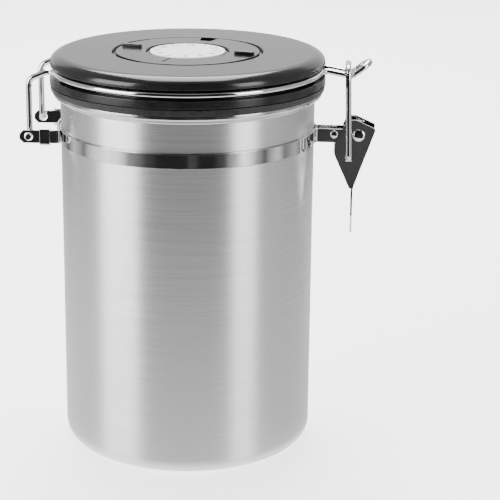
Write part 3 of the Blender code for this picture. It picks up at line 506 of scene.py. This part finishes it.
# Lid cap: a piano-black moulding with a domed shoulder and a shallow well for the ring. It
# snaps over the spigot of the lid base.
CAP_RIM = 0.0011
CAP_SHOULDER = 0.0060
SHOULDER_STEPS = 16
WELL_EDGE = 0.0004
WELL_STEPS = 6
RING_CLEARANCE = 0.0003
STEM_HOLE = 0.0053
CAP_EDGE = 0.00025

ring_low, ring_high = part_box("date_ring")
well_radius = ring_high.x + RING_CLEARANCE
well_floor = ring_low.z - RING_CLEARANCE
cap_bore = GROOVE_RADIUS + RING_CLEARANCE
shoulder_drop = cap_high.z - cap_low.z - CAP_RIM
shoulder_x = cap_high.x - CAP_SHOULDER
cap_rings = [(cap_bore, cap_low.z), (cap_high.x, cap_low.z)]
cap_rings += arc(shoulder_x, cap_high.z - shoulder_drop, CAP_SHOULDER, shoulder_drop, 0, 90, SHOULDER_STEPS)
cap_rings += arc(well_radius + WELL_EDGE, cap_high.z - WELL_EDGE, WELL_EDGE, WELL_EDGE, 90, 180, WELL_STEPS)
cap_rings += [(well_radius, well_floor), (STEM_HOLE, well_floor)]
cap_rings += [(STEM_HOLE, well_floor - LID_WALL), (well_radius + LID_WALL, well_floor - LID_WALL)]
cap_rings += [(well_radius + LID_WALL, cap_high.z - LID_WALL), (shoulder_x, cap_high.z - LID_WALL)]
cap_rings += [(cap_bore, base_high.z + RING_CLEARANCE), cap_rings[0]]
cap = turned("lid_top", cap_rings)
soften(cap, CAP_EDGE, MOULDED_SEGMENTS)
dress(cap, "lid", ["lid_cap"], gloss_black)


# Date ring: a black ring that turns in the well, flush with the lid, with two grip bars, a
# reading notch in its outer edge and an engraved pointer. A rabbet runs round its top edge, and
# the collar holds its inner lip.
RING_PROUD = 0.0001
RING_BORE = 0.0195
RING_LIP = 0.0030
RING_LIP_THICKNESS = 0.0008
RING_RABBET = 0.0014
RABBET_SHELF = 0.0010
RING_CORNER = 0.0004
RING_CORNER_STEPS = 4
RING_EDGE = 0.00012
BAR_SIZE = (0.0098, 0.0024, 0.0026)
BAR_RADIUS = 0.0280
BAR_EDGE = 0.0009
BAR_SEGMENTS = 6
BAR_TURN = -15.0
NOTCH_START = 0.0258
NOTCH_WIDTH = 0.0100
NOTCH_HEIGHT = 0.0100
NOTCH_NARROWING = 0.55
NOTCH_TURN = 76.0
POINTER_REACH = (0.0207, 0.0296)
POINTER_WIDTH = 0.0008
POINTER_DEPTH = 0.0006
POINTER_TURN = -108.0


def block(name, size, place, degrees):
    """Add a box of the given size, moved to its place and then turned about Z."""
    bpy.ops.object.select_all(action="DESELECT")
    bpy.ops.mesh.primitive_cube_add(size=1)
    piece = bpy.context.object
    piece.name = name
    piece.data.transform(Matrix.Diagonal((*size, 1)))
    piece.data.transform(Matrix.Rotation(math.radians(degrees), 4, "Z") @ Matrix.Translation(place))
    return piece


def cut(piece, tool):
    """Cut the tool's shape out of the piece, and remove the tool."""
    select_only(piece)
    step = piece.modifiers.new("cut", "BOOLEAN")
    step.operation = "DIFFERENCE"
    step.object = tool
    bpy.ops.object.modifier_apply(modifier=step.name)
    bpy.data.objects.remove(tool)


dial_top = cap_high.z + RING_PROUD
lip_high = ring_low.z + RING_LIP_THICKNESS
shelf_high = ring_low.z + RABBET_SHELF
rabbet_radius = ring_high.x - RING_RABBET
ring_rings = [(RING_BORE + RING_CORNER, dial_top), (RING_BORE, dial_top - RING_CORNER), (RING_BORE, lip_high)]
ring_rings += [(RING_BORE - RING_LIP, lip_high), (RING_BORE - RING_LIP, ring_low.z)]
ring_rings += [(ring_high.x, ring_low.z), (ring_high.x, shelf_high), (rabbet_radius, shelf_high)]
ring_rings += arc(rabbet_radius - RING_CORNER, dial_top - RING_CORNER, RING_CORNER, RING_CORNER,
                  0, 90, RING_CORNER_STEPS)
ring_rings += [ring_rings[0]]
date_ring = turned("month_ring", ring_rings)
notch_depth = ring_high.x + RING_RABBET - NOTCH_START
notch = block("notch", (notch_depth, NOTCH_WIDTH, NOTCH_HEIGHT), (0, 0, 0), 0)
for corner in notch.data.vertices:
    if corner.co.x < 0:
        corner.co.y *= NOTCH_NARROWING
notch_place = Matrix.Translation((NOTCH_START + notch_depth / 2, 0, dial_top))
notch.data.transform(Matrix.Rotation(math.radians(NOTCH_TURN), 4, "Z") @ notch_place)
cut(date_ring, notch)
pointer_start, pointer_end = POINTER_REACH
pointer_size = (pointer_end - pointer_start, POINTER_WIDTH, 2 * POINTER_DEPTH)
pointer_place = ((pointer_start + pointer_end) / 2, 0, dial_top)
cut(date_ring, block("pointer", pointer_size, pointer_place, POINTER_TURN))
soften(date_ring, RING_EDGE)
dress(date_ring, "date_ring", ["date_ring"], gloss_black)
bar_place = (BAR_RADIUS, 0, ring_high.z - BAR_SIZE[2] / 2)
for side_turn in (0, 180):
    bar = block(f"grip_bar_{side_turn}", BAR_SIZE, bar_place, BAR_TURN + side_turn)
    soften(bar, BAR_EDGE, BAR_SEGMENTS)
    dress(bar, "date_ring", [], gloss_black)


# Collar, disc and numbers: a sunk black collar, snapped through the cap, carries a white disc
# that stands just proud of it and is printed with plain numbers.
COLLAR_DROP = 0.0009
COLLAR_GAP = 0.0003
COLLAR_STEM = 0.0050
COLLAR_BARB = 0.0008
COLLAR_STEM_DEPTH = 0.0040
COLLAR_EDGE = 0.0001
DISC_RADIUS = 0.0177
DISC_DEPTH = 0.0010
DISC_EDGE = 0.00015
NUMBERS = 12
NUMBER_RADIUS = 0.0138
NUMBER_HEIGHT = 0.0045
PRINT_THICKNESS = 0.00003
PRINT_WEIGHT = 0.0001

white_print = grained("white_disc", roughness=(0.30, 0.42), dark=(0.90, 0.90, 0.89),
                      light=(0.95, 0.95, 0.94), grain=(700, 700, 700), detail=4, bump=0.02)
grey_ink = grained("grey_ink", roughness=(0.45, 0.55), dark=(0.03, 0.03, 0.03),
                   light=(0.06, 0.06, 0.06), grain=(900, 900, 900), detail=3, bump=0.0)

collar_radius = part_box("dial_collar")[1].x
neck_radius = RING_BORE - RING_LIP - COLLAR_GAP
neck_low = well_floor + COLLAR_GAP
stem_low = well_floor - LID_WALL - COLLAR_GAP
barb_low = well_floor - LID_WALL - COLLAR_STEM_DEPTH / 2
rim_top = dial_top - COLLAR_DROP
pocket_radius = DISC_RADIUS + COLLAR_GAP
pocket_floor = dial_top - DISC_DEPTH - COLLAR_GAP
collar_rings = [(pocket_radius, pocket_floor), (pocket_radius, rim_top)]
collar_rings += [(collar_radius, rim_top), (collar_radius, lip_high + COLLAR_GAP)]
collar_rings += [(neck_radius, lip_high + COLLAR_GAP), (neck_radius, neck_low)]
collar_rings += [(COLLAR_STEM, neck_low), (COLLAR_STEM, stem_low)]
collar_rings += [(COLLAR_STEM + COLLAR_BARB, stem_low), (COLLAR_STEM - COLLAR_BARB, barb_low)]
collar = turned("dial_rim", collar_rings)
soften(collar, COLLAR_EDGE)
dress(collar, "lid", ["dial_collar"], gloss_black)
disc = turned("number_disc", [(DISC_RADIUS, dial_top - DISC_DEPTH), (DISC_RADIUS, dial_top)])
soften(disc, DISC_EDGE)
dress(disc, "lid", ["dial_disc"], white_print)
for number in range(1, NUMBERS + 1):
    bpy.ops.object.select_all(action="DESELECT")
    bpy.ops.object.text_add()
    print_mark = bpy.context.object
    print_mark.data.body = str(number)
    print_mark.data.align_x = "CENTER"
    print_mark.data.align_y = "CENTER"
    print_mark.data.size = NUMBER_HEIGHT
    print_mark.data.extrude = PRINT_THICKNESS
    print_mark.data.offset = PRINT_WEIGHT
    bpy.ops.object.convert(target="MESH")
    print_mark.name = f"dial_number_{number}"
    round_dial = Matrix.Rotation(math.radians(-360 * number / NUMBERS), 4, "Z")
    print_mark.data.transform(round_dial @ Matrix.Translation((0, NUMBER_RADIUS, dial_top)))
    dress(print_mark, "lid", [], grey_ink)


# Valve: a black moulded cup pushed up through the floor of the lid's plug. A silicone flap
# closes its ports and is held by a stem, with a felt pad below and a pressed-in cover above.
VALVE_EDGE = 0.0001
FLAP_EDGE = 0.00005

felt = grained("filter_felt", roughness=(0.85, 0.95), dark=(0.60, 0.58, 0.53),
               light=(0.76, 0.74, 0.69), grain=(1500, 1500, 1500), detail=6, bump=0.5)
valve_pieces = (
    # node, name, edge, finish, slot
    ("valve_body", "valve_cup", VALVE_EDGE, gloss_black, "gloss_black"),
    ("valve_cover", "valve_top", VALVE_EDGE, gloss_black, "gloss_black"),
    ("valve_flap", "valve_seal", FLAP_EDGE, silicone, "black_silicone"),
    ("valve_filter", "felt_pad", VALVE_EDGE, felt, "filter_felt"),
)
for node, name, width, finish, slot_name in valve_pieces:
    dress(refined(node, name, width), "lid", [node], finish)


# Bail: one length of polished wire. Its feet turn in the ears, its legs rise to the lid, it
# runs round the groove on both sides and meets itself in the raised nose at the latch.
BAIL_WIRE = 0.0028
BAIL_RADIUS = 0.0631
BAIL_STEPS = 72
HINGE_REACH = 0.0728
PIN_HEIGHT = 0.1530
LEG_MIDDLE = 0.0173
RING_BEND = 0.0035
LEG_TOP_BEND = 0.0040
LEG_TOP_DROP = 0.0034
LEG_START = 0.0012
LEG_FOOT_BEND = 0.0028
WIRE_TAIL = 0.0012
NOSE_MIDDLE = 0.0045
NOSE_SEAT = 0.1808
NOSE_REACH = 0.0770
NOSE_BEND = 0.0030
NOSE_RISE = math.radians(37)
NOSE_LENGTH = 0.0056
WIRE_RESOLUTION = 6
BEND_STEPS = 10


def bent(points, radii):
    """Return the route through the points with an arc of each radius at the inner ones."""
    corners = [Vector(point) for point in points]
    route = [corners[0]]
    for before, corner, after, radius in zip(corners, corners[1:], corners[2:], radii):
        back = (before - corner).normalized()
        ahead = (after - corner).normalized()
        half = back.angle(ahead) / 2
        centre = corner + (back + ahead).normalized() * radius / math.sin(half)
        first = corner + back * radius / math.tan(half) - centre
        last = corner + ahead * radius / math.tan(half) - centre
        for step in range(BEND_STEPS + 1):
            route.append(centre + first.lerp(last, step / BEND_STEPS).normalized() * radius)
    route.append(corners[-1])
    return route


def bent_wire(name, route, diameter):
    """Draw a round wire along the route and turn it into a mesh."""
    bpy.ops.object.select_all(action="DESELECT")
    bpy.ops.curve.primitive_bezier_curve_add()
    piece = bpy.context.object
    piece.name = name
    piece.data.splines.clear()
    spline = piece.data.splines.new("POLY")
    spline.points.add(len(route) - 1)
    for point, place in zip(spline.points, route):
        point.co = (*place, 1)
    piece.data.bevel_depth = diameter / 2
    piece.data.bevel_resolution = WIRE_RESOLUTION
    piece.data.use_fill_caps = True
    bpy.ops.object.convert(target="MESH")
    bpy.ops.object.mode_set(mode="EDIT")
    bpy.ops.mesh.select_all(action="SELECT")
    bpy.ops.mesh.remove_doubles(threshold=MERGE_DISTANCE)
    bpy.ops.mesh.normals_make_consistent(inside=False)
    bpy.ops.object.mode_set(mode="OBJECT")
    soften(piece, 0)
    return piece


def ring_join(offset):
    """Return where a bend beside the bail's ring has its centre, and its turn in degrees."""
    reach = BAIL_RADIUS + RING_BEND
    return math.sqrt(reach ** 2 - offset ** 2), math.degrees(math.asin(offset / reach))


bail_height = flange_high + GROOVE_HEIGHT / 2
outward = Vector((math.cos(NOSE_RISE), 0, math.sin(NOSE_RISE)))
nose_bend = Vector((NOSE_REACH, NOSE_MIDDLE, NOSE_SEAT))
tip_centre = nose_bend + outward * NOSE_LENGTH
half_bail = []
for step in range(BEND_STEPS):
    angle = math.radians(90 * step / BEND_STEPS)
    half_bail.append(tip_centre + outward * NOSE_MIDDLE * math.cos(angle)
                     + Vector((0, NOSE_MIDDLE * (math.sin(angle) - 1), 0)))
root_offset = NOSE_MIDDLE + RING_BEND
root_x, root_turn = ring_join(root_offset)
leg_offset = LEG_MIDDLE + RING_BEND
leg_x, leg_turn = ring_join(leg_offset)
half_bail += bent([tip_centre, nose_bend, (root_x, NOSE_MIDDLE, bail_height)], [NOSE_BEND])
level = arc(root_x, root_offset, RING_BEND, RING_BEND, -90, root_turn - 180, BEND_STEPS)[1:]
level += arc(0, 0, BAIL_RADIUS, BAIL_RADIUS, root_turn, 180 - leg_turn, BAIL_STEPS)[1:]
level += arc(-leg_x, leg_offset, RING_BEND, RING_BEND, -leg_turn, -90, BEND_STEPS)[1:]
half_bail += [Vector((x, y, bail_height)) for x, y in level]
foot_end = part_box("hinge_bracket")[1].y + WIRE_TAIL
leg_corners = [half_bail[-1], (half_bail[-1].x - LEG_START, LEG_MIDDLE, bail_height)]
leg_corners += [(-HINGE_REACH, LEG_MIDDLE, bail_height - LEG_TOP_DROP)]
leg_corners += [(-HINGE_REACH, LEG_MIDDLE, PIN_HEIGHT), (-HINGE_REACH, foot_end, PIN_HEIGHT)]
half_bail += bent(leg_corners, [LEG_TOP_BEND, LEG_TOP_BEND, LEG_FOOT_BEND])[1:]
front_half = [Vector((point.x, -point.y, point.z)) for point in reversed(half_bail[1:])]
bail = bent_wire("bail", front_half + half_bail, BAIL_WIRE)
dress(bail, "lid", ["bail_wire"], polished_steel)


# Latch lever: one pressing of polished sheet, two side plates joined down the back, which
# runs on into the thumb tab. The wire loop turns in its lower holes.
lever = refined("latch_lever", "lever", SHEET_EDGE)
dress(lever, "latch_lever", ["latch_lever"], polished_steel)


# Latch loop: one length of polished wire bent square. Its feet are turned in through holes in
# the lever's plates, and it swings on them.
LOOP_WIRE = 0.0027
LOOP_PIN = Vector((0.0766, 0, 0.1418))
LOOP_TOP = Vector((0.0754, 0, 0.1852))
LOOP_MIDDLE = 0.00835
LOOP_FOOT_END = 0.0036
LOOP_BENDS = [0.0021, 0.0034, 0.0034, 0.0021]

side = Vector((0, LOOP_MIDDLE, 0))
foot = Vector((0, LOOP_FOOT_END, 0))
loop_corners = [LOOP_PIN + foot, LOOP_PIN + side, LOOP_TOP + side]
loop_corners += [LOOP_TOP - side, LOOP_PIN - side, LOOP_PIN - foot]
wire_loop = bent_wire("wire_loop", bent(loop_corners, LOOP_BENDS), LOOP_WIRE)
dress(wire_loop, "latch_loop", ["latch_loop"], polished_steel)
